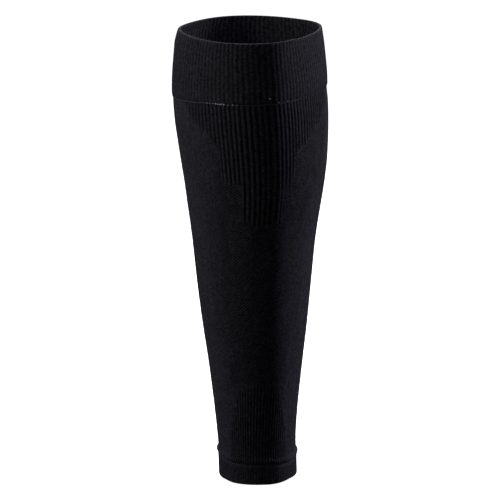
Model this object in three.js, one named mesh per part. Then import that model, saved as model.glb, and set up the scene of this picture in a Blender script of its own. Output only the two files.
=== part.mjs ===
// Footless compression sleeve for the calf, standing in the form that it has on a leg.
// Millimetres, +Z up, the shin faces -Y; z = 0 is the bottom edge of the ankle hem.
import * as THREE from "three";
import { mergeVertices } from "three/addons/utils/BufferGeometryUtils.js";

// Sizes that everything else follows.
const SLEEVE_HEIGHT = 355;
const CALF_WIDTH = 121;
const BODY_WALL = 1.2;
const CUFF_WALL = 2.0;
const HEM_WALL = 2.2;
const PIECE_GAP = 0.3;

// The cuff: double knit above the linking seam, a little proud of the body.
const CUFF_SEAM_HEIGHT = 0.867 * SLEEVE_HEIGHT;
const CUFF_SEAM_TILT = 0.034;
const RIM_HEIGHT = 0.9977 * SLEEVE_HEIGHT;
const RIM_TILT = 0.021;
const CUFF_PROUD = 0.7;
const LAP_HEIGHT = 6;
const EDGE_ROUND = 1.1;
const LIP_ROUND = 0.3;
const TONGUE_STEP = 0.4;
const TONGUE_WALL = 0.8;

// The hem: double knit under a rolled ridge.
const HEM_SEAM_HEIGHT = 0.049 * SLEEVE_HEIGHT;
const HEM_PROUD = 0.45;
const HEM_ROLL = 1.15;
const HEM_EDGE_HEIGHT = 0.2;
const HEM_EDGE_TILT = 0.008;

// Ribs of the cuff and of the V panel share the same wales.
const RIB_COUNT = 88;
const CUFF_RIB_RELIEF = 0.28;
const PANEL_RIB_RELIEF = 0.34;
const HEM_COLUMNS = 72;

// Cross-section by height: height as a share of SLEEVE_HEIGHT, half width and sideways shift as shares
// of half the calf width, the depths in front and behind as shares of the half width at that height,
// the sideways shifts of the shin ridge and of the calf's hindmost line as shares of it too, and the
// share by which the section is flatter than an oval between front and sides.
const SECTION_COLUMNS = ["height", "halfWidth", "shift", "front", "back", "ridge", "hind", "corners"];
const SECTIONS = [
  [0.0, 0.501, 0.059, 1.215, 1.03, 0.0, 0.0, -0.035],
  [0.055, 0.504, 0.049, 1.19, 1.03, 0.02, 0.0, -0.035],
  [0.094, 0.513, 0.04, 1.18, 1.03, 0.04, 0.0, -0.03],
  [0.162, 0.548, 0.032, 1.18, 1.03, 0.07, 0.0, -0.02],
  [0.253, 0.61, 0.026, 1.19, 1.02, 0.1, 0.0, -0.01],
  [0.344, 0.68, 0.016, 1.21, 1.02, 0.12, -0.01, 0.0],
  [0.434, 0.739, 0.007, 1.22, 1.02, 0.12, -0.02, 0.01],
  [0.524, 0.792, 0.004, 1.23, 1.02, 0.12, -0.03, 0.015],
  [0.569, 0.826, 0.005, 1.235, 1.02, 0.12, -0.04, 0.018],
  [0.614, 0.866, 0.008, 1.24, 1.02, 0.125, -0.05, 0.02],
  [0.659, 0.904, 0.011, 1.255, 1.02, 0.13, -0.06, 0.022],
  [0.704, 0.94, 0.005, 1.275, 1.02, 0.13, -0.07, 0.025],
  [0.749, 0.967, -0.008, 1.31, 1.02, 0.13, -0.08, 0.028],
  [0.793, 0.987, -0.024, 1.34, 1.02, 0.13, -0.09, 0.028],
  [0.838, 0.994, -0.038, 1.37, 1.02, 0.125, -0.1, 0.028],
  [0.87, 0.987, -0.049, 1.385, 1.025, 0.12, -0.11, 0.028],
  [0.904, 0.979, -0.05, 1.385, 1.03, 0.115, -0.12, 0.028],
  [0.949, 0.955, -0.052, 1.385, 1.055, 0.1, -0.13, 0.038],
  [0.971, 0.941, -0.053, 1.385, 1.075, 0.095, -0.13, 0.043],
  [1.0, 0.904, -0.043, 1.385, 1.1, 0.09, -0.13, 0.045],
];
const CALF_SET_BACK = 0.165;
const LEAN_TOP = 0.845;

// The V panel of ribs: height at the front as a share of SLEEVE_HEIGHT, and half its width in ribs.
const PANEL_STEPS = [
  [0.596, 0],
  [0.6, 4.5],
  [0.684, 4.5],
  [0.69, 7.5],
  [0.728, 7.5],
  [0.745, 9.5],
  [0.766, 12],
  [0.795, 15],
  [0.822, 17],
  [0.88, 18],
];

const clamp = (value, low, high) => Math.min(high, Math.max(low, value));
const mix = (a, b, t) => a + (b - a) * t;

// Smooth interpolation of the section table at any height.
function sectionAt(z) {
  const h = z / SLEEVE_HEIGHT;
  const last = SECTIONS.length - 1;
  let i = 0;
  while (i < last - 1 && h > SECTIONS[i + 1][0]) i++;
  const rows = [SECTIONS[Math.max(0, i - 1)], SECTIONS[i], SECTIONS[i + 1], SECTIONS[Math.min(last, i + 2)]];
  const span = rows[2][0] - rows[1][0];
  const t = (h - rows[1][0]) / span;
  const out = {};
  SECTION_COLUMNS.slice(1).forEach((name, k) => {
    const c = k + 1;
    const slope = (a, b) => ((rows[b][c] - rows[a][c]) / (rows[b][0] - rows[a][0])) * span;
    const ease = t * t * (3 - 2 * t);
    const leave = t * (1 - t) * (1 - t) * slope(0, 2);
    const arrive = t * t * (1 - t) * slope(1, 3);
    out[name] = mix(rows[1][c], rows[2][c], ease) + leave - arrive;
  });
  return out;
}

// How far the leg's centre line lies behind the ankle's at height z.
function setBack(z) {
  const t = clamp(z / (LEAN_TOP * SLEEVE_HEIGHT), 0, 1);
  return CALF_SET_BACK * (CALF_WIDTH / 2) * (1 - Math.pow(1 - t, 1.5));
}

// The knit's outer face at height z: turn 0 is the shin ridge, a quarter turn is the right side.
function outline(z, turn, offset) {
  const s = sectionAt(z);
  const half = s.halfWidth * (CALF_WIDTH / 2);
  const sin = Math.sin(turn);
  const cos = Math.cos(turn);
  const round = 1 - s.corners * Math.pow(Math.sin(2 * turn), 2);
  const width = half + offset;
  const depth = (cos > 0 ? s.front : s.back) * half + offset;
  const skew = (cos > 0 ? s.ridge : -s.hind) * half * Math.pow(cos, 3);
  return [s.shift * (CALF_WIDTH / 2) + skew + width * sin * round, setBack(z) - depth * cos * round];
}

// Turns that share the girth at calf height into equal steps, one for each half rib.
const HALF_RIBS = RIB_COUNT * 2;
const RIB_LEVEL = 0.8;
const ribTurns = (() => {
  const fine = HALF_RIBS * 16;
  const level = RIB_LEVEL * SLEEVE_HEIGHT;
  const length = [0];
  let before = outline(level, 0, 0);
  for (let i = 1; i <= fine; i++) {
    const now = outline(level, (2 * Math.PI * i) / fine, 0);
    length.push(length[i - 1] + Math.hypot(now[0] - before[0], now[1] - before[1]));
    before = now;
  }
  const turns = [];
  let j = 0;
  for (let k = 0; k < HALF_RIBS; k++) {
    const target = (length[fine] * k) / HALF_RIBS;
    while (length[j + 1] < target) j++;
    turns.push((2 * Math.PI * (j + (target - length[j]) / (length[j + 1] - length[j]))) / fine);
  }
  return turns;
})();

// Half the width of the V panel at height z, in ribs.
const PANEL_REACH = PANEL_STEPS[PANEL_STEPS.length - 1][1];
function panelHalf(z) {
  const h = z / SLEEVE_HEIGHT;
  if (h <= PANEL_STEPS[0][0]) return 0;
  for (let i = 1; i < PANEL_STEPS.length; i++) {
    const [h0, w0] = PANEL_STEPS[i - 1];
    const [h1, w1] = PANEL_STEPS[i];
    if (h <= h1) return mix(w0, w1, (h - h0) / (h1 - h0));
  }
  return PANEL_REACH;
}

// A station is one ring of a wall's profile: its height, its offset from the knit's outer face,
// how far ribs stand out of it, how much it tilts sideways, and whether only the V panel is ribbed there.
function station(height, offset, relief = 0, tilt = 0, panelOnly = false) {
  return { height, offset, relief, tilt, panelOnly };
}

// Where a station's ring meets a column.
function place(column, ring) {
  const flat = outline(ring.height, column.turn, ring.offset);
  const z = ring.height + ring.tilt * flat[0];
  const share = ring.panelOnly ? clamp(panelHalf(z) - column.away + 0.5, 0, 1) : 1;
  const [x, y] = outline(z, column.turn, ring.offset + ring.relief * column.rib * share);
  return [x, y, z];
}

// A tube that stands at height base: the wall's profile is turned in a lathe, closed on itself, and each
// ring is then moved out to the leg's outline.
function tube(name, colour, base, columns, rings) {
  const closed = [...rings, rings[0]];
  const profile = closed.map((ring) => new THREE.Vector2(CALF_WIDTH / 2 + ring.offset, ring.height));
  const lathe = new THREE.LatheGeometry(profile, columns.length);
  const position = lathe.getAttribute("position");
  for (let i = 0; i <= columns.length; i++) {
    for (let k = 0; k <= rings.length; k++) {
      const [x, y, z] = place(columns[i % columns.length], rings[k % rings.length]);
      position.setXYZ(i * profile.length + k, x, y, z - base);
    }
  }
  lathe.deleteAttribute("normal");
  lathe.deleteAttribute("uv");
  const geometry = mergeVertices(lathe, 1e-4);
  geometry.computeVertexNormals();
  const material = new THREE.MeshStandardMaterial({ color: colour, roughness: 0.95, metalness: 0 });
  const mesh = new THREE.Mesh(geometry, material);
  mesh.name = name;
  mesh.position.z = base;
  return mesh;
}

// Columns: rib +1 on a crest, -1 in a furrow, and the number of ribs from the shin ridge.
const ribColumns = ribTurns.map((turn, k) => ({
  turn,
  rib: k % 2 ? -1 : 1,
  away: Math.min(k, HALF_RIBS - k) / 2,
}));
const bodyColumns = ribColumns.filter((column, k) => column.away <= PANEL_REACH + 0.5 || k % 4 === 0);
const hemColumns = Array.from({ length: HEM_COLUMNS }, (_, k) => ({
  turn: (2 * Math.PI * k) / HEM_COLUMNS,
  rib: 0,
  away: 0,
}));

// Cuff: up the outside, over the rolled rim, down the inside, then back out over the body's tongue.
const CUFF_HEIGHT = RIM_HEIGHT - CUFF_SEAM_HEIGHT;
const cuffIn = CUFF_PROUD - CUFF_WALL;
const tongueOut = -TONGUE_STEP;
const tongueIn = tongueOut - TONGUE_WALL;
const atRim = (drop, offset, relief) => station(RIM_HEIGHT - drop, offset, relief, RIM_TILT);
const atSeam = (rise, offset, relief, panelOnly) =>
  station(CUFF_SEAM_HEIGHT + rise, offset, relief, CUFF_SEAM_TILT, panelOnly);
const topCuff = tube("top_cuff", 0x17171c, CUFF_SEAM_HEIGHT, ribColumns, [
  atSeam(0, CUFF_PROUD - LIP_ROUND, CUFF_RIB_RELIEF / 2),
  atSeam(EDGE_ROUND, CUFF_PROUD, CUFF_RIB_RELIEF),
  atSeam(0.45 * CUFF_HEIGHT, CUFF_PROUD, CUFF_RIB_RELIEF),
  atRim(EDGE_ROUND, CUFF_PROUD, CUFF_RIB_RELIEF),
  atRim(0, CUFF_PROUD - CUFF_WALL / 3, CUFF_RIB_RELIEF / 2),
  atRim(0, cuffIn + CUFF_WALL / 3, 0),
  atRim(EDGE_ROUND, cuffIn, -CUFF_RIB_RELIEF),
  atSeam(LAP_HEIGHT + PIECE_GAP, cuffIn, -CUFF_RIB_RELIEF),
  atSeam(LAP_HEIGHT + PIECE_GAP, tongueOut + PIECE_GAP, 0),
  atSeam(0, tongueOut + PIECE_GAP, 0),
]);

// Body: a lower tongue inside the hem, the panel and its steps, and an upper tongue inside the cuff.
const hemLap = HEM_SEAM_HEIGHT - LAP_HEIGHT;
const shoulder = 2 * EDGE_ROUND;
const atShares = (shares, offset, relief) =>
  shares.map((share) => station(share * SLEEVE_HEIGHT, offset, relief, 0, true));
const legBody = tube("leg_body", 0x131318, hemLap, bodyColumns, [
  station(hemLap, tongueOut),
  station(HEM_SEAM_HEIGHT + 2 * PIECE_GAP, tongueOut),
  station(HEM_SEAM_HEIGHT + shoulder, 0),
  ...atShares([0.077, 0.12, 0.18, 0.245, 0.315, 0.385, 0.455, 0.525, 0.585], 0, 0),
  ...atShares([0.6, 0.64, 0.684, 0.692, 0.728, 0.748, 0.77, 0.797, 0.824], 0, PANEL_RIB_RELIEF),
  atSeam(-EDGE_ROUND - PIECE_GAP, 0, PANEL_RIB_RELIEF, true),
  atSeam(-PIECE_GAP, tongueOut, 0),
  atSeam(LAP_HEIGHT, tongueOut, 0),
  atSeam(LAP_HEIGHT, tongueIn, 0),
  ...atShares([0.82, 0.71, 0.58, 0.44, 0.29, 0.14], -BODY_WALL, 0),
  station(HEM_SEAM_HEIGHT + shoulder, -BODY_WALL),
  station(hemLap, tongueIn),
]);

// Hem: the inner ply runs behind the body's tongue, the ridge rolls over in front of it.
const hemIn = HEM_PROUD - HEM_WALL;
const ankleHem = tube("ankle_hem", 0x17171c, 0, hemColumns, [
  station(HEM_EDGE_HEIGHT, HEM_PROUD - LIP_ROUND, 0, HEM_EDGE_TILT),
  station(HEM_EDGE_HEIGHT + EDGE_ROUND, HEM_PROUD, 0, HEM_EDGE_TILT),
  station(0.3 * HEM_SEAM_HEIGHT, HEM_PROUD),
  station(0.62 * HEM_SEAM_HEIGHT, HEM_PROUD),
  station(0.8 * HEM_SEAM_HEIGHT, mix(HEM_PROUD, HEM_ROLL, 0.7)),
  station(0.92 * HEM_SEAM_HEIGHT, HEM_ROLL),
  station(HEM_SEAM_HEIGHT + PIECE_GAP, HEM_ROLL - LIP_ROUND),
  station(HEM_SEAM_HEIGHT, tongueOut + PIECE_GAP),
  station(hemLap - PIECE_GAP, tongueOut + PIECE_GAP),
  station(hemLap - PIECE_GAP, tongueIn - PIECE_GAP),
  station(HEM_EDGE_HEIGHT + EDGE_ROUND, hemIn, 0, HEM_EDGE_TILT),
  station(HEM_EDGE_HEIGHT, hemIn + LIP_ROUND, 0, HEM_EDGE_TILT),
]);

const sleeve = new THREE.Group();
sleeve.name = "compression_sleeve";
sleeve.add(topCuff, legBody, ankleHem);

export default sleeve;
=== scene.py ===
"""A footless knitted compression sleeve for the calf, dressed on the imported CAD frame."""
import math
import random
from typing import NamedTuple

import bmesh
import bpy
import numpy as np
from bpy.props import FloatProperty, FloatVectorProperty, IntProperty, PointerProperty
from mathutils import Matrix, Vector


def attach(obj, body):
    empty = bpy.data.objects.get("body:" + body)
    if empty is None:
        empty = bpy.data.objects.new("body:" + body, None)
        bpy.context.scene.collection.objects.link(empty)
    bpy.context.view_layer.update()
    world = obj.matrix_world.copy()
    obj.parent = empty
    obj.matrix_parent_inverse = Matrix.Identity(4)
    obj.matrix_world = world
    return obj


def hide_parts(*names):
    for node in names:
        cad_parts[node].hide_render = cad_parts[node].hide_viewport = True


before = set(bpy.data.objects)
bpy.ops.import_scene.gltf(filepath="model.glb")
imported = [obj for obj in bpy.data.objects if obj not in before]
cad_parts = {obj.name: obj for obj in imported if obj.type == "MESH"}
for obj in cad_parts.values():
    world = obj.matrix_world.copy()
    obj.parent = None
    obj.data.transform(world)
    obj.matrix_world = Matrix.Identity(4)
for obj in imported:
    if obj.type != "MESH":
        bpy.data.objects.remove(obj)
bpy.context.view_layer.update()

bl_info = {
    "name": "Calf compression sleeve",
    "version": (1, 0, 0),
    "blender": (4, 5, 0),
    "location": "3D View > Sidebar > Sleeve",
    "description": "Builds a ribbed footless compression sleeve and its studio",
    "category": "Add Mesh",
}

MM = 0.001

# Overall size, in metres as all lengths are.
SLEEVE_HEIGHT = 0.355
CALF_WIDTH = 0.121

# Walls, seams and edges.
BODY_WALL = 1.2 * MM
CUFF_WALL = 2.0 * MM
HEM_WALL = 2.2 * MM
CUFF_PROUD = 0.7 * MM
HEM_PROUD = 0.45 * MM
CUFF_SEAM_HEIGHT = 0.867 * SLEEVE_HEIGHT
CUFF_SEAM_TILT = 0.034
RIM_HEIGHT = 0.9977 * SLEEVE_HEIGHT
RIM_TILT = 0.021
HEM_SEAM_HEIGHT = 0.0445 * SLEEVE_HEIGHT
HEM_SEAM_TILT = -0.035
HEM_EDGE_HEIGHT = 0.2 * MM
HEM_EDGE_TILT = 0.008
ROLL_RISE = 2.8 * MM
ROLL_PROUD = 1.5 * MM
TUCK = 0.4 * MM
TUCK_LENGTH = 5 * MM
EDGE_RADIUS = 0.95 * MM

# Ribs round the leg, and the needles' wales that the yarn's loops follow.
RIB_COUNT = 104
WALE_COUNT = 208
COURSE_HEIGHT = 1.2 * MM
RIB_ROUNDNESS = 1.3

# The ankle panel's ribs stand out this share of the V panel's.
ANKLE_RELIEF = 0.55

# The twill: the height of a row, its lines round the leg, the rib where its two slants meet, the share of
# the sleeve's height where it starts, and the rib on the left past which it fades to a share of itself.
TWILL_HEIGHT = 2.4 * MM
TWILL_COUNT = 118
TWILL_APEX = -1.2
TWILL_START = 0.222
TWILL_FADE_RIB = 9
TWILL_FADED = 0.3

# The upright lines beside the twill, by ribs from the shin and by share of the height, and those behind.
UPRIGHT_RIBS = (7.5, 15.5)
UPRIGHT_SHARES = (0.3, 0.68)
UPRIGHT_BACK_RIB = 25
UPRIGHT_BACK = 0.7

# How much the knit's inner face is brightened: painted light that stands in for the light reaching inside the
# tube.
INNER_PAINTED_LIGHT_GAIN = 2.3

# Cross-section by height: height as a share of SLEEVE_HEIGHT, half width and sideways shift as shares
# of half the calf width, depth in front and behind as shares of the half width, sideways shift of the
# shin ridge and of the hindmost line, and how much flatter than an oval the corners are, or fuller below 0.
SECTIONS = np.array((
    (0.0, 0.501, 0.059, 1.215, 1.03, 0.0, 0.0, -0.035),
    (0.055, 0.504, 0.049, 1.19, 1.03, 0.02, 0.0, -0.035),
    (0.094, 0.513, 0.04, 1.18, 1.03, 0.04, 0.0, -0.03),
    (0.162, 0.548, 0.032, 1.18, 1.03, 0.07, 0.0, -0.02),
    (0.253, 0.61, 0.026, 1.19, 1.02, 0.1, 0.0, -0.01),
    (0.344, 0.68, 0.016, 1.21, 1.02, 0.12, -0.01, 0.0),
    (0.434, 0.739, 0.007, 1.22, 1.02, 0.12, -0.02, 0.01),
    (0.524, 0.792, 0.004, 1.23, 1.02, 0.12, -0.03, 0.015),
    (0.569, 0.826, 0.005, 1.235, 1.02, 0.12, -0.04, 0.018),
    (0.614, 0.866, 0.008, 1.24, 1.02, 0.125, -0.05, 0.02),
    (0.659, 0.904, 0.011, 1.255, 1.02, 0.13, -0.06, 0.022),
    (0.704, 0.94, 0.005, 1.275, 1.02, 0.13, -0.07, 0.025),
    (0.749, 0.967, -0.008, 1.31, 1.02, 0.13, -0.08, 0.028),
    (0.793, 0.987, -0.024, 1.34, 1.02, 0.13, -0.09, 0.028),
    (0.838, 0.994, -0.038, 1.37, 1.02, 0.125, -0.1, 0.028),
    (0.87, 0.987, -0.049, 1.385, 1.025, 0.12, -0.11, 0.028),
    (0.904, 0.979, -0.05, 1.385, 1.03, 0.115, -0.12, 0.028),
    (0.949, 0.955, -0.052, 1.385, 1.055, 0.1, -0.13, 0.038),
    (0.971, 0.941, -0.053, 1.385, 1.075, 0.095, -0.13, 0.043),
    (1.0, 0.904, -0.043, 1.385, 1.1, 0.09, -0.13, 0.045),
))

# How far back the calf lies from the ankle, as a share of half its width, and the share of the height
# where it gets there.
CALF_SET_BACK = 0.165
LEAN_TOP = 0.845

# The share of the height where the girth is measured, and in how many steps.
RIB_LEVEL = 0.8
GIRTH_STEPS = 2816

# Each rib's place on the girth: ribs from the shin ridge, negative on the left, and share of the girth.
RIB_PLACES = np.array(((-52, -0.5), (-11, -0.1108), (-4, -0.0432), (0, 0.0), (3, 0.0318), (6, 0.0585),
                       (8, 0.0744), (18.8, 0.1727), (52, 0.5)))

# How far each knitted zone reaches, in ribs to the left and to the right of the shin, by height as a
# share of SLEEVE_HEIGHT.
V_PANEL = np.array(((0.596, 0, 0), (0.6, 4.5, 3.5), (0.684, 4.5, 3.5), (0.69, 8.5, 6.5), (0.752, 8.5, 7.5),
                    (0.765, 9.5, 9.5), (0.785, 11, 13), (0.813, 14.5, 18), (0.84, 18, 22), (0.88, 20, 24)))
ANKLE_PANEL = np.array(((0.05, 12, 12), (0.12, 11, 11), (0.15, 9.5, 9.5), (0.185, 8, 8), (0.205, 7.4, 7.4),
                        (0.215, 5, 5), (0.222, 3, 3), (0.226, 0, 0)))
TWILL_ZONE = np.array(((0.2, 5.5, 4), (0.23, 10, 9), (0.55, 11, 9.5), (0.62, 15, 13), (0.7, 19, 18),
                       (0.77, 22, 21), (0.8, 21, 22), (0.84, 0, 23), (0.855, 0, 0)))

# How far the hem's seam and edge, the cuff's seam and the rim stand off their planes, in millimetres by rib.
HEM_SEAM_SWAY = np.array(((-52, 1.0), (-23, 1.3), (-16, 1.0), (-11, -0.4), (-5, 0.0), (2, 0.6), (10, 0.1),
                          (14, 0.1), (17, 0.7), (24, 1.2), (52, 1.0)))
HEM_EDGE_SWAY = np.array(((-52, 0.0), (-28, 0.0), (-16, 0.6), (-11, 0.0), (4, 0.0), (8, 0.5), (14, 1.3),
                          (20, 0.8), (27, 0.0), (52, 0.0)))
CUFF_SEAM_SWAY = np.array(((-52, -2.0), (-35, -3.6), (-26, -3.8), (-18.5, -1.8), (-14.5, -0.8), (-11, 0.1),
                           (-2, 0.4), (4.5, 0.9), (11, 1.3), (18.5, 0.8), (23, 0.1), (31, -0.5), (52, -2.0)))
RIM_SWAY = np.array(((-52, 0.2), (-35, 0.5), (-26, 1.2), (-20, 0.7), (-15, 0.0), (-6.5, -0.3), (2, 0.2),
                     (8.5, 0.3), (12, -0.1), (21, 0.1), (29, 0.6), (38, 0.3), (52, 0.2)))

# The edge of the shin: a low ridge that runs straight down, to the right of the middle.
RIDGE_X = 0.0185
RIDGE_WIDTH = 0.0075
RIDGE_RISE = 0.0011

# Grain of the yarn and thread, as noise scales.
MOTTLE_SCALE = 560
LINT_SCALE = 2400
THREAD_GRAIN_SCALE = 2600

# How deep the cuff's stitches have sunk into the seam, by rib.
CUFF_STITCHES_SUNK = ((-52, 0.0), (-4, 0.0), (0, 0.15 * MM), (7, 0.15 * MM), (11, 0.7 * MM), (30, 0.7 * MM),
                      (52, 0.0))

# The clear thread's loops at the cuff's seam: rib, millimetres above the seam, and size.
CLEAR_LOOPS = ((-10.8, 0, 0.6), (-10.2, 0.2, 0.5), (-9.4, 0, 0.6), (-8.7, 0.3, 0.9), (-8.2, 0, 1.0),
               (-7.6, 0, 1.0), (-7.2, 0.3, 0.8), (-6.7, 0, 1.0), (-5.8, -0.2, 0.7), (-4.8, 0, 0.7),
               (-3.9, 0, 0.5), (-7.9, 4.0, 0.5), (1.9, 4.4, 0.8), (3.5, 1.0, 0.5), (5.7, 1.0, 0.5))

# The ribs that carry an upright tack stitch above the hem.
TACK_RIBS = (-10, -9, -8, -7, -6, -5, 4, 5, 6, 7)

# The camera and the floor.
CAMERA_X = -0.00275
SENSOR_WIDTH = 36.0
LENS_LENGTH = 271.4
FLOOR_SIZE = 8.0
FLOOR_DROP = 2 * MM


def mix(a, b, t):
    return a + (b - a) * t


def ease(t):
    t = np.clip(t, 0, 1)
    return t * t * (3 - 2 * t)


def inside_zone(zone, ribs, share):
    """How many ribs a point lies inside a zone's nearer side, at a share of the height."""
    left, right = (np.interp(share, zone[:, 0], zone[:, k]) for k in (1, 2))
    return np.where(ribs < 0, left + ribs, right - ribs)


def sections(z):
    """The section table's columns at heights z, on smooth curves through its rows."""
    share = z / SLEEVE_HEIGHT
    last = len(SECTIONS) - 1
    row = np.clip(np.searchsorted(SECTIONS[:, 0], share, side="right") - 1, 0, last - 1)
    before, low, high, after = (SECTIONS[np.clip(row + k, 0, last)].T for k in (-1, 0, 1, 2))
    span = high[0] - low[0]
    t = (share - low[0]) / span
    leave = (high - before) / (high[0] - before[0]) * span
    arrive = (after - low) / (after[0] - low[0]) * span
    middle = low + (high - low) * t * t * (3 - 2 * t)
    return (middle + t * (1 - t) ** 2 * leave - t * t * (1 - t) * arrive)[1:]


def outline(z, turn, offset):
    """Points off the knit's outer face at heights z: turn 0 is the shin ridge, a quarter turn the right."""
    half_width, shift, front, back, ridge, hind, corners = sections(z)
    half = half_width * CALF_WIDTH / 2
    sin, cos = np.sin(turn), np.cos(turn)
    rounding = 1 - corners * np.sin(2 * turn) ** 2
    depth = np.where(cos > 0, front, back) * half + offset
    skew = np.where(cos > 0, ridge, -hind) * half * cos ** 3
    lean = np.clip(z / (LEAN_TOP * SLEEVE_HEIGHT), 0, 1)
    set_back = CALF_SET_BACK * CALF_WIDTH / 2 * (1 - (1 - lean) ** 1.5)
    x = shift * CALF_WIDTH / 2 + skew + (half + offset) * sin * rounding
    return x, set_back - depth * cos * rounding


def girth_shares():
    """Share of the girth reached at each turn at calf height, where the ribs' places are measured."""
    turns = np.linspace(0, math.tau, GIRTH_STEPS + 1)
    x, y = outline(np.full(GIRTH_STEPS + 1, RIB_LEVEL * SLEEVE_HEIGHT), turns, 0)
    lengths = np.concatenate(((0,), np.cumsum(np.hypot(np.diff(x), np.diff(y)))))
    return turns, lengths / lengths[-1]


TURNS, SHARES = girth_shares()


class Ring(NamedTuple):
    """One station of a wall's profile: its offset is from the knit's outer face, its reliefs are of ribs."""

    height: float
    offset: float
    tilt: float = 0.0
    ribbed: float = 0.0
    zoned: float = 0.0


def sway(heights, ribs):
    """How far points at these heights stand off their planes: fully at a seam or the rim, fading between."""
    parts = ((HEM_EDGE_SWAY, (0, HEM_SEAM_HEIGHT), (1, 0)),
             (HEM_SEAM_SWAY, (0, HEM_SEAM_HEIGHT, HEM_SEAM_HEIGHT + 30 * MM), (0, 1, 0)),
             (CUFF_SEAM_SWAY, (CUFF_SEAM_HEIGHT - 40 * MM, CUFF_SEAM_HEIGHT, RIM_HEIGHT), (0, 1, 0)),
             (RIM_SWAY, (CUFF_SEAM_HEIGHT, RIM_HEIGHT), (0, 1)))
    return sum(MM * np.interp(heights, levels, shares) * np.interp(ribs, table[:, 0], table[:, 1])
               for table, levels, shares in parts)


def signed_ribs(fraction):
    """Ribs from the shin ridge, negative on the left, at a share of the girth."""
    fraction = fraction % 1.0
    return np.where(fraction <= 0.5, fraction, fraction - 1) * RIB_COUNT


def rib_wave(ribs):
    """A rib's roundness: 1 on a crest, -1 in the narrow furrow."""
    return 2 * np.abs(np.cos(np.pi * ribs)) ** RIB_ROUNDNESS - 1


def panel_share(ribs, share):
    """1 on the ribs that belong to the V panel."""
    return ease(inside_zone(V_PANEL, np.round(ribs), share) + 0.5) * (share > V_PANEL[0, 0])


def ankle_share(ribs, share):
    """1 in the ankle's ribbed panel, which has an arched top."""
    return ease(inside_zone(ANKLE_PANEL, ribs, share) + 0.5) * (share < ANKLE_PANEL[-1, 0])


def place(rings, fraction):
    """Where rings meet columns at fractions of the girth, with the shin ridge at 0, one point for each."""
    height, offset, tilt, ribbed, zoned = rings.T
    ribs = signed_ribs(fraction)
    turn = np.interp(np.interp(ribs, RIB_PLACES[:, 0], RIB_PLACES[:, 1]) % 1.0, SHARES, TURNS)
    x, _ = outline(height, turn, offset)
    z = height + tilt * x + sway(height, ribs)
    share = z / SLEEVE_HEIGHT
    panels = panel_share(ribs, share) + ANKLE_RELIEF * ankle_share(ribs, share)
    relief = (ribbed + zoned * panels) * rib_wave(ribs)
    relief += RIDGE_RISE * np.exp(-((x - RIDGE_X) / RIDGE_WIDTH) ** 2) * (np.cos(turn) > 0)
    x, y = outline(z, turn, offset + relief)
    return np.stack((x, y, z), axis=1)


def finished(name, mesh, material):
    """The mesh as a smooth-shaded object that rides on the sleeve's only body."""
    mesh.shade_smooth()
    mesh.materials.append(material)
    piece = bpy.data.objects.new(name, mesh)
    bpy.context.scene.collection.objects.link(piece)
    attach(piece, "root")
    return piece


def closed_grid(name, columns, stations, locate, material):
    """A grid bent into a ring-shaped tube: locate gives the place of each point from its column and station,
    and then the grid's first and last rows, and first and last columns, are welded."""
    bm = bmesh.new()
    bmesh.ops.create_grid(bm, x_segments=columns, y_segments=stations, size=0.5)
    mesh = bpy.data.meshes.new(name)
    bm.to_mesh(mesh)
    bm.free()
    flat = np.empty(len(mesh.vertices) * 3)
    mesh.vertices.foreach_get("co", flat)
    flat = flat.reshape(-1, 3) + 0.5
    column = np.round(flat[:, 0] * columns).astype(int)
    station = np.round(flat[:, 1] * stations).astype(int)
    points = locate(mesh, column, station)
    mesh.vertices.foreach_set("co", points.ravel())

    corners = np.empty(len(mesh.loops), dtype=np.int32)
    mesh.loops.foreach_get("vertex_index", corners)
    uv = mesh.uv_layers.new(name="wales_and_height")
    spread = np.stack((column / columns, points[:, 2] / SLEEVE_HEIGHT), axis=1)[corners]
    uv.uv.foreach_set("vector", spread.ravel())

    bm = bmesh.new()
    bm.from_mesh(mesh)
    bmesh.ops.remove_doubles(bm, verts=bm.verts[:], dist=1e-7)
    bmesh.ops.recalc_face_normals(bm, faces=bm.faces[:])
    bm.to_mesh(mesh)
    bm.free()
    return finished(name, mesh, material)


def knitted_tube(name, rings, columns, material):
    """A closed knitted wall round the leg, with its zones as attributes of its points."""
    rings = np.array(rings, dtype=float)

    def locate(mesh, column, station):
        fraction = (column % columns) / columns - 0.5
        points = place(rings[station % len(rings)], fraction)
        ribs, share = signed_ribs(fraction), points[:, 2] / SLEEVE_HEIGHT
        clear_of_panel = 1 - ease(inside_zone(V_PANEL, ribs, share) + 1) * (share > V_PANEL[0, 0])
        twill = ease(inside_zone(TWILL_ZONE, ribs, share) / 2 + 0.5) * clear_of_panel
        twill *= np.clip((share - TWILL_START) / 0.01, 0, 1)
        twill *= np.where(ribs < 0, mix(1, TWILL_FADED, ease((-ribs - TWILL_FADE_RIB) / 3)), 1)
        near, far = UPRIGHT_RIBS
        lowest, highest = UPRIGHT_SHARES
        upright = ease((np.abs(ribs) - near) / 2) * ease((far - np.abs(ribs)) / 2)
        upright *= ease((share - lowest) / 0.05) * ease((highest - share) / 0.05)
        upright = np.maximum(upright, UPRIGHT_BACK * ease((np.abs(ribs) - UPRIGHT_BACK_RIB) / 5))
        panel, ankle = panel_share(ribs, share), ankle_share(ribs, share)
        inner = ease(-rings[station % len(rings), 1] / MM - 0.2)
        for label, values in (("twill", twill), ("upright", upright), ("panel", panel), ("ankle", ankle),
                              ("inner", inner)):
            mesh.attributes.new(label, "FLOAT", "POINT").data.foreach_set("value", values)
        return points

    return closed_grid(name, columns, len(rings), locate, material)


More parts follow.
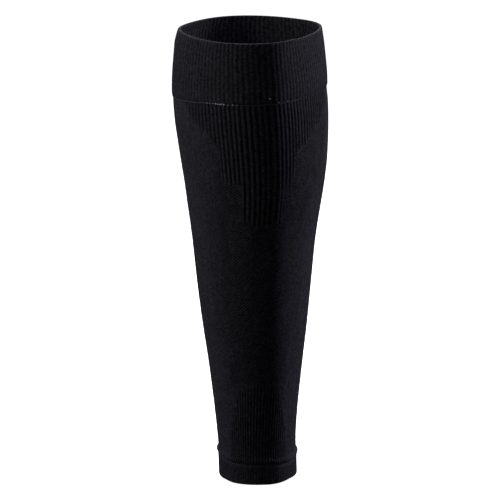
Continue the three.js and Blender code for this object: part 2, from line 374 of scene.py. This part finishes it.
def chain_stitches(name, height, tilt, offset, count, thickness, zigzag, material, sunk=((0, 0.0),)):
    """A seam's stitches as one strand that swells at each stitch and narrows between, lying on the knit;
    sunk says by rib how deep it has sunk in between."""
    sunk = np.array(sunk)
    across, along = 8, 6

    def locate(mesh, column, station):
        fraction = (column % (count * along)) / (count * along) - 0.5
        beat = fraction * count
        radius = thickness / 2 * (0.3 + 0.7 * np.abs(np.sin(np.pi * beat)) ** 0.6)
        angle = math.tau * (station % across) / across
        drift = zigzag * np.where(np.floor(beat) % 2 > 0, 1, -1) * np.cos(np.pi * beat)
        blank = np.zeros(len(fraction))
        depth = np.interp(signed_ribs(fraction), sunk[:, 0], sunk[:, 1])
        rings = np.stack((height + drift + radius * np.sin(angle), offset - depth + radius * np.cos(angle),
                          blank + tilt, blank, blank), axis=1)
        return place(rings, fraction)

    return closed_grid(name, count * along, across, locate, material)


def fold(height, outer, inner, tilt, up, count=9, **relief):
    """Rings round a folded edge, from its outer side to its inner side; the ribs fade out at its turn."""
    middle, half = (outer + inner) / 2, (outer - inner) / 2
    rings = []
    for i in range(1, count):
        angle = math.pi * i / count
        fade = abs(math.cos(angle))
        faded = {kind: fade * size for kind, size in relief.items()}
        rise = up * EDGE_RADIUS * math.sin(angle)
        rings.append(Ring(height + rise, middle + half * math.cos(angle), tilt, **faded))
    return rings


def cuff_rings(relief):
    """The cuff's profile: outside upwards from the seam's groove, over the folded rim, inside downwards."""
    outer, inner = CUFF_PROUD, CUFF_PROUD - CUFF_WALL
    rim, seam = RIM_HEIGHT - EDGE_RADIUS, CUFF_SEAM_HEIGHT
    lip = ((0.0, -TUCK, 0), (0.45, -0.2, 0.2), (0.8, 0.15, 0.5), (1.2, 0.48, 0.8), (1.8, 0.66, 1))
    rings = []
    for rise, offset, share in lip:
        rings.append(Ring(seam + rise * MM, offset * MM, CUFF_SEAM_TILT, relief * share))
    for share in np.linspace(0.07, 0.985, 26):
        rings.append(Ring(mix(seam, rim, share), outer, mix(CUFF_SEAM_TILT, RIM_TILT, share), relief))
    rings += fold(rim, outer, inner, RIM_TILT, 1, ribbed=relief)
    for share in np.linspace(0.985, 0.15, 22):
        rings.append(Ring(mix(seam, rim, share), inner, mix(CUFF_SEAM_TILT, RIM_TILT, share), -1.4 * relief))
    rings.append(Ring(seam + TUCK_LENGTH, inner, CUFF_SEAM_TILT))
    rings.append(Ring(seam, -TUCK - 0.2 * MM, CUFF_SEAM_TILT))
    return rings


def body_rings(relief):
    """The body's profile: outside upwards over the hem's roll, tucked under the cuff, inside downwards."""
    seam = HEM_SEAM_HEIGHT
    rings = [Ring(seam - TUCK_LENGTH, -TUCK, HEM_SEAM_TILT), Ring(seam - 0.2 * MM, -0.3 * MM, HEM_SEAM_TILT)]
    for i in range(17):
        rise = i * 0.5 * MM
        swell = 0
        if rise < 2 * ROLL_RISE:
            swell = max(0, math.cos((rise - ROLL_RISE) / (ROLL_RISE * 2.0) * math.pi)) ** 1.3
        tilt = HEM_SEAM_TILT * (1 - i / 20)
        rings.append(Ring(seam + rise, ROLL_PROUD * swell, tilt, zoned=relief * min(1, 0.3 + i / 8)))
    start, end = seam + 9.2 * MM, CUFF_SEAM_HEIGHT - 3.2 * MM
    for height in np.linspace(start, end, 104):
        tilt = HEM_SEAM_TILT * max(0, 0.55 - (height - start) * 20)
        tilt += CUFF_SEAM_TILT * max(0, 1 - (CUFF_SEAM_HEIGHT - height) / (60 * MM))
        rings.append(Ring(height, 0.0, tilt, zoned=relief))
    for drop, offset in ((1.6, 0.0), (0.5, -0.05), (0.1, -0.3)):
        rings.append(Ring(CUFF_SEAM_HEIGHT - drop * MM, offset * MM, CUFF_SEAM_TILT, zoned=relief))
    rings.append(Ring(CUFF_SEAM_HEIGHT + TUCK_LENGTH, -TUCK, CUFF_SEAM_TILT))
    rings.append(Ring(CUFF_SEAM_HEIGHT + TUCK_LENGTH, -BODY_WALL, CUFF_SEAM_TILT))
    for height in np.linspace(0.82 * SLEEVE_HEIGHT, start, 14):
        rings.append(Ring(height, -BODY_WALL))
    rings.append(Ring(seam - TUCK_LENGTH, -BODY_WALL, HEM_SEAM_TILT))
    return rings


def hem_rings(relief):
    """The hem's profile: outside upwards to the seam under the roll, tucked behind it, inside downwards."""
    outer, inner = HEM_PROUD, HEM_PROUD - HEM_WALL
    seam = HEM_SEAM_HEIGHT
    rings = []
    for share in np.linspace(0.1, 0.93, 12):
        rings.append(Ring(share * seam, outer, mix(HEM_EDGE_TILT, HEM_SEAM_TILT, share), relief))
    rings.append(Ring(seam - 0.5 * MM, outer - 0.1 * MM, HEM_SEAM_TILT, relief * 0.5))
    rings.append(Ring(seam - 0.1 * MM, 0.1 * MM, HEM_SEAM_TILT))
    rings.append(Ring(seam + 0.1 * MM, -0.35 * MM, HEM_SEAM_TILT))
    rings.append(Ring(seam + 0.1 * MM, inner + 0.3 * MM, HEM_SEAM_TILT))
    for share in (0.9, 0.7, 0.5, 0.3, 0.15):
        rings.append(Ring(share * seam, inner, mix(HEM_EDGE_TILT, HEM_SEAM_TILT, share), -relief))
    below = fold(HEM_EDGE_HEIGHT + EDGE_RADIUS, outer, inner, HEM_EDGE_TILT, -1, ribbed=relief)
    return rings + below[::-1]


class Shader:
    """A material under construction, with short calls for the nodes that the knits use."""

    def __init__(self, name):
        self.material = bpy.data.materials.new(name)
        self.material.use_nodes = True
        self.tree = self.material.node_tree
        self.inputs = self.tree.nodes["Principled BSDF"].inputs

    def node(self, kind, **inputs):
        node = self.tree.nodes.new(kind)
        for name, value in inputs.items():
            self.join(node.inputs[name.replace("_", " ")], value)
        return node

    def join(self, socket, value):
        if isinstance(value, bpy.types.NodeSocket):
            self.tree.links.new(value, socket)
        else:
            socket.default_value = value

    def math(self, operation, *values):
        node = self.tree.nodes.new("ShaderNodeMath")
        node.operation = operation
        for socket, value in zip(node.inputs, values):
            self.join(socket, value)
        return node.outputs[0]

    def add(self, *values):
        total = values[0]
        for value in values[1:]:
            total = self.math("ADD", total, value)
        return total

    def times(self, a, b):
        return self.math("MULTIPLY", a, b)

    def wave(self, phase):
        """From 0 to 1 and back over each turn of the phase."""
        return self.math("MULTIPLY_ADD", self.math("SINE", self.times(phase, math.tau)), 0.5, 0.5)

    def furrow(self, across, count):
        """1 in the narrow furrows between count ribs round the leg, and 0 on their crests."""
        crest = self.math("ABSOLUTE", self.math("COSINE", self.times(across, math.pi * count)))
        return self.math("SUBTRACT", 1.0, crest)

    def combine(self, x, y, z=0.0):
        return self.node("ShaderNodeCombineXYZ", X=x, Y=y, Z=z).outputs[0]

    def noise(self, vector, scale, detail):
        """Noise about 0, from -0.5 to 0.5."""
        node = self.node("ShaderNodeTexNoise", Vector=vector, Scale=scale, Detail=detail)
        return self.math("SUBTRACT", node.outputs["Fac"], 0.5)

    def attribute(self, name):
        node = self.tree.nodes.new("ShaderNodeAttribute")
        node.attribute_name = name
        return node.outputs["Fac"]

    def colour(self, share, dark, light, gain=1.0):
        """A base colour between two, by a share that is kept within 0 and 1, and then times a gain."""
        node = self.tree.nodes.new("ShaderNodeMix")
        node.data_type = "RGBA"
        self.join(node.inputs["Factor"], self.math("MINIMUM", self.math("MAXIMUM", share, 0.0), 1.0))
        node.inputs["A"].default_value = (*dark, 1)
        node.inputs["B"].default_value = (*light, 1)
        scaled = self.tree.nodes.new("ShaderNodeVectorMath")
        scaled.operation = "SCALE"
        self.join(scaled.inputs["Vector"], node.outputs["Result"])
        self.join(scaled.inputs["Scale"], gain)
        self.join(self.inputs["Base Color"], scaled.outputs["Vector"])

    def bump(self, height, distance, strength):
        node = self.node("ShaderNodeBump", Height=height, Distance=distance, Strength=strength)
        self.join(self.inputs["Normal"], node.outputs["Normal"])


def knit_material(name, settings, ribs=0.0, zones=False):
    """Knitted yarn: loops on every wale, each a little lighter or darker, furrows darkened with painted
    shade, and an inner face brightened with painted light. ribs says how much painted shade darkens the
    furrows between ribs all over; zones puts in the body's zones instead."""
    shader = Shader(name)
    uv = shader.tree.nodes.new("ShaderNodeUVMap")
    uv.uv_map = "wales_and_height"
    split = shader.node("ShaderNodeSeparateXYZ", Vector=uv.outputs["UV"])
    across = split.outputs["X"]
    height = shader.times(split.outputs["Y"], SLEEVE_HEIGHT)

    wale = shader.times(across, WALE_COUNT)
    leg = shader.math("ABSOLUTE", shader.math("SUBTRACT", shader.math("FRACT", wale), 0.5))
    course = shader.add(shader.math("DIVIDE", height, COURSE_HEIGHT), shader.times(leg, -1.1))
    yarn = shader.times(shader.wave(course), shader.wave(shader.math("MULTIPLY_ADD", leg, 2.0, -0.25)))
    cell = shader.combine(shader.math("FLOOR", wale), shader.math("FLOOR", course))
    loop_noise = shader.node("ShaderNodeTexWhiteNoise", Vector=cell)
    loop_tone = shader.math("SUBTRACT", loop_noise.outputs["Value"], 0.5)
    streak = shader.combine(shader.times(across, WALE_COUNT * 1.3), shader.times(height, 60))
    streaks = shader.noise(streak, 1.0, 1)

    place_node = shader.tree.nodes.new("ShaderNodeTexCoord")
    mottle = shader.noise(place_node.outputs["Object"], MOTTLE_SCALE, 3)
    lint = shader.noise(place_node.outputs["Object"], LINT_SCALE, 2)

    from_shin = shader.math("SUBTRACT", across, 0.5)
    if zones:
        # In the V and ankle panels the furrows between ribs get painted shade.
        panels = shader.math("MAXIMUM", shader.attribute("panel"), shader.attribute("ankle"))
        ribs = shader.times(panels, 0.93)
    # Painted shade: the furrows between the ribs are darkened in colour, as much as ribs says.
    shade = shader.times(shader.furrow(from_shin, RIB_COUNT), ribs)
    relief = shader.add(shader.times(yarn, 0.35), shader.times(mottle, 0.6), shader.times(loop_tone, 0.15),
                        shader.times(shade, -0.6))
    if zones:
        from_apex = shader.math("ABSOLUTE", shader.math("SUBTRACT", from_shin, TWILL_APEX / RIB_COUNT))
        rows = shader.math("DIVIDE", height, TWILL_HEIGHT)
        slant = shader.times(from_apex, TWILL_COUNT)
        falling = shader.wave(shader.add(rows, slant))
        rising = shader.wave(shader.math("SUBTRACT", rows, slant))
        patch = shader.noise(shader.combine(shader.times(across, 40), shader.times(height, 60)), 1.0, 1)
        lattice = shader.math("MINIMUM", shader.math("MAXIMUM", shader.times(patch, 8), 0.0), 1.0)
        gap = shader.times(falling, shader.math("MULTIPLY_ADD", shader.times(rising, lattice), -1.0, 1.0))
        gap = shader.times(gap, shader.attribute("twill"))
        upright = shader.times(shader.furrow(from_shin, WALE_COUNT), shader.attribute("upright"))
        relief = shader.add(relief, shader.times(gap, -0.9), shader.times(upright, -0.4))
        # Painted shade: the twill's gaps and the upright lines' furrows are darkened in colour as well.
        shade = shader.math("MAXIMUM", shade, shader.times(gap, 0.7))
        shade = shader.math("MAXIMUM", shade, shader.times(upright, 0.5))

    uneven = 1.6 if zones else 1.0
    tone = shader.add(0.5, shader.times(yarn, 0.25 * uneven), shader.times(loop_tone, 0.5),
                      shader.times(mottle, 1.3), shader.times(streaks, 0.4), shader.times(lint, uneven))
    # Painted light: the inner face's colour is brightened to stand in for light reaching inside the tube.
    painted_inner_light = shader.math("MULTIPLY_ADD", shader.attribute("inner"), INNER_PAINTED_LIGHT_GAIN - 1, 1.0)
    lit = shader.times(tone, shader.math("SUBTRACT", 1.0, shade))
    shader.colour(lit, settings.dark_and_shaded_yarn, settings.light_yarn, painted_inner_light)
    shader.bump(relief, 0.4 * MM, 0.9)
    shader.inputs["Roughness"].default_value = 0.8
    shader.inputs["Specular IOR Level"].default_value = 0.1
    shader.inputs["Sheen Weight"].default_value = 0.015
    shader.inputs["Sheen Roughness"].default_value = 0.5
    shader.inputs["Sheen Tint"].default_value = (0.7, 0.72, 1.0, 1)
    return shader.material


def thread_material(name, colour, roughness):
    """Twisted thread: a slightly uneven colour and a fine grain."""
    shader = Shader(name)
    place_node = shader.tree.nodes.new("ShaderNodeTexCoord")
    grain = shader.noise(place_node.outputs["Object"], THREAD_GRAIN_SCALE, 2)
    shader.colour(shader.math("ADD", grain, 0.6), [0.45 * c for c in colour], colour)
    shader.bump(grain, 0.1 * MM, 0.5)
    shader.inputs["Roughness"].default_value = roughness
    return shader.material


def on_knit(height, tilt, fraction, offset):
    """A point at a height and a share of the girth, and the directions along its course and outwards."""
    ring = Ring(height, offset, tilt)
    rings = np.array((ring, ring, Ring(height, offset + MM, tilt)))
    here, further, outer = (Vector(p) for p in place(rings, np.array((fraction, fraction + 0.001, fraction))))
    return here, (further - here).normalized(), (outer - here).normalized()


def add_stitch(bm, centre, direction, outward, length, thickness):
    """One stitch: a sphere stretched into a short rounded strand that lies on the knit."""
    made = bmesh.ops.create_icosphere(bm, subdivisions=2, radius=1.0)
    side = direction.cross(outward).normalized()
    for vert in made["verts"]:
        along, up, across = vert.co
        vert.co = (centre + direction * (along * length / 2) + outward * (up * thickness / 2)
                   + side * (across * thickness / 2))


def stitch_row(name, material, stitches):
    """A piece of many stitches, each given as add_stitch wants it."""
    bm = bmesh.new()
    for stitch in stitches:
        add_stitch(bm, *stitch)
    mesh = bpy.data.meshes.new(name)
    bm.to_mesh(mesh)
    bm.free()
    return finished(name, mesh, material)


class SleeveSettings(bpy.types.PropertyGroup):
    """Sizes and colours of the knit."""

    cuff_relief: FloatProperty(name="Cuff ribs", description="How far the cuff's ribs stand out",
                               default=0.15 * MM, unit="LENGTH", precision=5)
    panel_relief: FloatProperty(name="Panel ribs", description="How far the ribs of the V panel stand out",
                                default=0.3 * MM, unit="LENGTH", precision=5)
    hem_relief: FloatProperty(name="Hem ribs", description="How far the hem's fine ribs stand out",
                              default=0.1 * MM, unit="LENGTH", precision=5)
    columns_per_rib: IntProperty(name="Columns per rib", description="Mesh columns in one rib", default=6)
    # The dark yarn colour serves both the yarn's darker loops and the painted shade in the furrows, twill
    # gaps and upright lines.
    dark_and_shaded_yarn: FloatVectorProperty(name="Dark yarn", description="Colour of the yarn in the furrows",
                                   default=(0.0012, 0.0012, 0.0016), subtype="COLOR")
    light_yarn: FloatVectorProperty(name="Light yarn", description="Colour of the yarn on the crests",
                                    default=(0.055, 0.0535, 0.066), subtype="COLOR")
    seam_thread: FloatVectorProperty(name="Seam thread", description="Colour of the linking thread",
                                     default=(0.075, 0.074, 0.085), subtype="COLOR")
    # The clear thread's loops get a near-white colour: a painted glint standing in for the reflections of a
    # clear filament.
    clear_thread_glint: FloatVectorProperty(name="Clear thread", description="Colour of the clear thread's loops",
                                      default=(0.75, 0.75, 0.78), subtype="COLOR")


class StudioSettings(bpy.types.PropertyGroup):
    """The camera's place and the strength of the lights."""

    camera_distance: FloatProperty(name="Camera distance", default=2.87, unit="LENGTH",
                                   description="From the ankle's centre, along the floor")
    camera_height: FloatProperty(name="Camera height", description="Above the sleeve's bottom edge",
                                 default=0.824, unit="LENGTH")
    camera_pitch: FloatProperty(name="Camera pitch", description="How far the camera looks down",
                                default=math.radians(12.642), subtype="ANGLE")
    light_power: FloatProperty(name="Light power", default=1.0,
                               description="Power of all softboxes, as a share of the photo set-up")


class SLEEVE_OT_cuff(bpy.types.Operator):
    """Knit the double cuff"""

    bl_idname = "sleeve.cuff"
    bl_label = "Cuff"

    def execute(self, context):
        settings = context.scene.sleeve
        # ribs=0.6 is how much painted shade darkens the cuff's furrows.
        material = knit_material("cuff_rib_knit", settings, ribs=0.6)
        columns = RIB_COUNT * settings.columns_per_rib
        cuff = knitted_tube("cuff_knit", cuff_rings(settings.cuff_relief), columns, material)
        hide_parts("top_cuff")
        return {"FINISHED"}


class SLEEVE_OT_body(bpy.types.Operator):
    """Knit the tube of the leg with its panels"""

    bl_idname = "sleeve.body"
    bl_label = "Leg body"

    def execute(self, context):
        settings = context.scene.sleeve
        # zones puts painted shade in the panels' furrows, the twill's gaps and the upright lines' furrows.
        material = knit_material("body_twill_knit", settings, zones=True)
        columns = RIB_COUNT * settings.columns_per_rib
        body = knitted_tube("body_knit", body_rings(settings.panel_relief), columns, material)
        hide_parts("leg_body")
        return {"FINISHED"}


class SLEEVE_OT_hem(bpy.types.Operator):
    """Knit the ankle hem"""

    bl_idname = "sleeve.hem"
    bl_label = "Ankle hem"

    def execute(self, context):
        settings = context.scene.sleeve
        # ribs=0.4 is how much painted shade darkens the hem's furrows.
        material = knit_material("hem_rib_knit", settings, ribs=0.4)
        columns = RIB_COUNT * settings.columns_per_rib
        hem = knitted_tube("hem_knit", hem_rings(settings.hem_relief), columns, material)
        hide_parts("ankle_hem")
        return {"FINISHED"}


class SLEEVE_OT_seams(bpy.types.Operator):
    """Lay the linking stitches of both seams and the clear thread's loops"""

    bl_idname = "sleeve.seams"
    bl_label = "Seam stitches"

    def execute(self, context):
        settings = context.scene.sleeve
        linking = thread_material("linking_thread", settings.seam_thread, 0.6)
        # The clear thread's near-white colour is a painted glint.
        clear = thread_material("clear_thread_glint", settings.clear_thread_glint, 0.35)
        rng = random.Random(7)

        seam = chain_stitches("cuff_seam_stitches", CUFF_SEAM_HEIGHT - 0.1 * MM, CUFF_SEAM_TILT, 0.15 * MM,
                              WALE_COUNT, 0.75 * MM, 0.1 * MM, linking, sunk=CUFF_STITCHES_SUNK)
        for name, rise, offset in (("hem_upper_stitches", -0.1, 0.1), ("hem_lower_stitches", -1.5, 0.4)):
            seam = chain_stitches(name, HEM_SEAM_HEIGHT + rise * MM, HEM_SEAM_TILT, offset * MM,
                                  WALE_COUNT, 0.45 * MM, 0.05 * MM, linking)

        stitches = []
        for ribs, rise, size in CLEAR_LOOPS:
            height = CUFF_SEAM_HEIGHT + (rise + 0.1) * MM
            centre, course, out = on_knit(height, CUFF_SEAM_TILT, (ribs / RIB_COUNT) % 1.0, 0.75 * MM)
            slant = (course + Vector((0, 0, rng.uniform(-0.6, 0.6)))).normalized()
            stitches.append((centre, slant, out, size * 1.8 * MM, size * 1.2 * MM))
        stitch_row("clear_thread_loops", clear, stitches)

        stitches = []
        for rib in TACK_RIBS:
            fraction = (rib / RIB_COUNT) % 1.0
            centre, course, out = on_knit(HEM_SEAM_HEIGHT + 3.6 * MM, HEM_SEAM_TILT, fraction, 1.15 * MM)
            upright = Vector((rng.uniform(-0.12, 0.12), 0, 1)).normalized()
            stitches.append((centre, upright, out, 3.2 * MM, 0.42 * MM))
        stitch_row("hem_tack_stitches", linking, stitches)
        return {"FINISHED"}


# Softboxes: azimuth in degrees from the shin's direction, distance, height, width, how tall, watts, colour.
SOFTBOXES = {
    "left_low": (-80, 1.3, 0.1, 0.4, 0.7, 2.9, (1.03, 1.04, 0.93)),
    "left_high": (-80, 1.3, 0.9, 0.4, 0.7, 2.3, (1.01, 1.08, 0.92)),
    "left_rear_low": (-100, 1.3, 0.1, 0.4, 0.7, 3.9, (0.93, 0.85, 1.18)),
    "left_rear_high": (-120, 1.3, 0.9, 0.4, 0.7, 1.4, (1.0, 0.95, 1.05)),
    "right_low": (100, 1.3, 0.1, 0.4, 0.7, 5.2, (0.97, 0.9, 1.12)),
    "right_high": (100, 1.3, 0.9, 0.4, 0.7, 2.5, (0.95, 0.97, 1.09)),
    "right_rear_high": (120, 1.3, 0.9, 0.4, 0.7, 5.5, (0.94, 1.0, 1.06)),
    "front_high": (0, 2.4, 1.6, 1.0, 0.8, 1.6, (0.95, 0.97, 1.05)),
    "front_right": (35, 2.4, 0.6, 0.8, 1.0, 2.0, (0.9, 0.93, 1.16)),
    "top_rear": (180, 0.8, 1.4, 0.8, 0.6, 24.0, (0.98, 0.97, 1.05)),
}


def add_softbox(name, azimuth, distance, height, width, tall, watts, colour):
    """A softbox turned to the middle of the sleeve."""
    data = bpy.data.lights.new(name, "AREA")
    data.shape = "RECTANGLE"
    data.size, data.size_y = width, tall
    data.energy = watts
    data.color = colour
    light = bpy.data.objects.new(name, data)
    turn = math.radians(azimuth)
    light.location = (distance * math.sin(turn), -distance * math.cos(turn), height)
    aim = Vector((0, 0, SLEEVE_HEIGHT / 2)) - light.location
    light.rotation_euler = aim.to_track_quat("-Z", "Y").to_euler()
    light.visible_camera = False
    bpy.context.scene.collection.objects.link(light)


class SLEEVE_OT_stage(bpy.types.Operator):
    """Set the white floor, the softboxes and the camera"""

    bl_idname = "sleeve.stage"
    bl_label = "Stage"

    def execute(self, context):
        scene = context.scene
        studio = scene.sleeve_studio
        scene.view_settings.view_transform = "Standard"

        world = bpy.data.worlds.new("white_studio")
        world.use_nodes = True
        background = world.node_tree.nodes["Background"]
        background.inputs["Color"].default_value = (1, 1, 1, 1)
        world.cycles_visibility.diffuse = False
        world.cycles_visibility.glossy = False
        world.cycles_visibility.transmission = False
        scene.world = world

        bm = bmesh.new()
        bmesh.ops.create_grid(bm, x_segments=1, y_segments=1, size=FLOOR_SIZE)
        bmesh.ops.translate(bm, verts=bm.verts[:], vec=(0, 0, -FLOOR_DROP))
        mesh = bpy.data.meshes.new("floor")
        bm.to_mesh(mesh)
        bm.free()
        shader = Shader("white_floor")
        shader.inputs["Base Color"].default_value = (0.9, 0.9, 0.9, 1)
        shader.inputs["Emission Color"].default_value = (1, 1, 1, 1)
        shader.inputs["Emission Strength"].default_value = 1.0
        mesh.materials.append(shader.material)
        floor = bpy.data.objects.new("floor", mesh)
        floor.visible_diffuse = False
        floor.visible_glossy = False
        scene.collection.objects.link(floor)

        for name, (*box, watts, colour) in SOFTBOXES.items():
            add_softbox(name, *box, watts * studio.light_power, colour)

        data = bpy.data.cameras.new("camera")
        data.sensor_width = SENSOR_WIDTH
        data.lens = LENS_LENGTH
        data.clip_end = 100
        camera = bpy.data.objects.new("camera", data)
        camera.location = (CAMERA_X, -studio.camera_distance, studio.camera_height)
        camera.rotation_euler = (math.pi / 2 - studio.camera_pitch, 0, 0)
        scene.collection.objects.link(camera)
        scene.camera = camera
        return {"FINISHED"}


class SLEEVE_PT_panel(bpy.types.Panel):
    """Everything that builds the sleeve"""

    bl_idname = "SLEEVE_PT_panel"
    bl_label = "Compression sleeve"
    bl_space_type = "VIEW_3D"
    bl_region_type = "UI"
    bl_category = "Sleeve"

    def draw(self, context):
        layout = self.layout
        for name in SleeveSettings.__annotations__:
            layout.prop(context.scene.sleeve, name)
        for name in StudioSettings.__annotations__:
            layout.prop(context.scene.sleeve_studio, name)
        for operator in OPERATORS:
            layout.operator(operator.bl_idname)


OPERATORS = (SLEEVE_OT_stage, SLEEVE_OT_cuff, SLEEVE_OT_body, SLEEVE_OT_hem, SLEEVE_OT_seams)
CLASSES = (SleeveSettings, StudioSettings, *OPERATORS, SLEEVE_PT_panel)


def register():
    for cls in CLASSES:
        bpy.utils.register_class(cls)
    bpy.types.Scene.sleeve = PointerProperty(type=SleeveSettings)
    bpy.types.Scene.sleeve_studio = PointerProperty(type=StudioSettings)


def unregister():
    del bpy.types.Scene.sleeve_studio
    del bpy.types.Scene.sleeve
    for cls in reversed(CLASSES):
        bpy.utils.unregister_class(cls)


def main():
    register()
    bpy.ops.sleeve.stage()
    bpy.ops.sleeve.cuff()
    bpy.ops.sleeve.body()
    bpy.ops.sleeve.hem()
    bpy.ops.sleeve.seams()


if __name__ == "__main__":
    main()
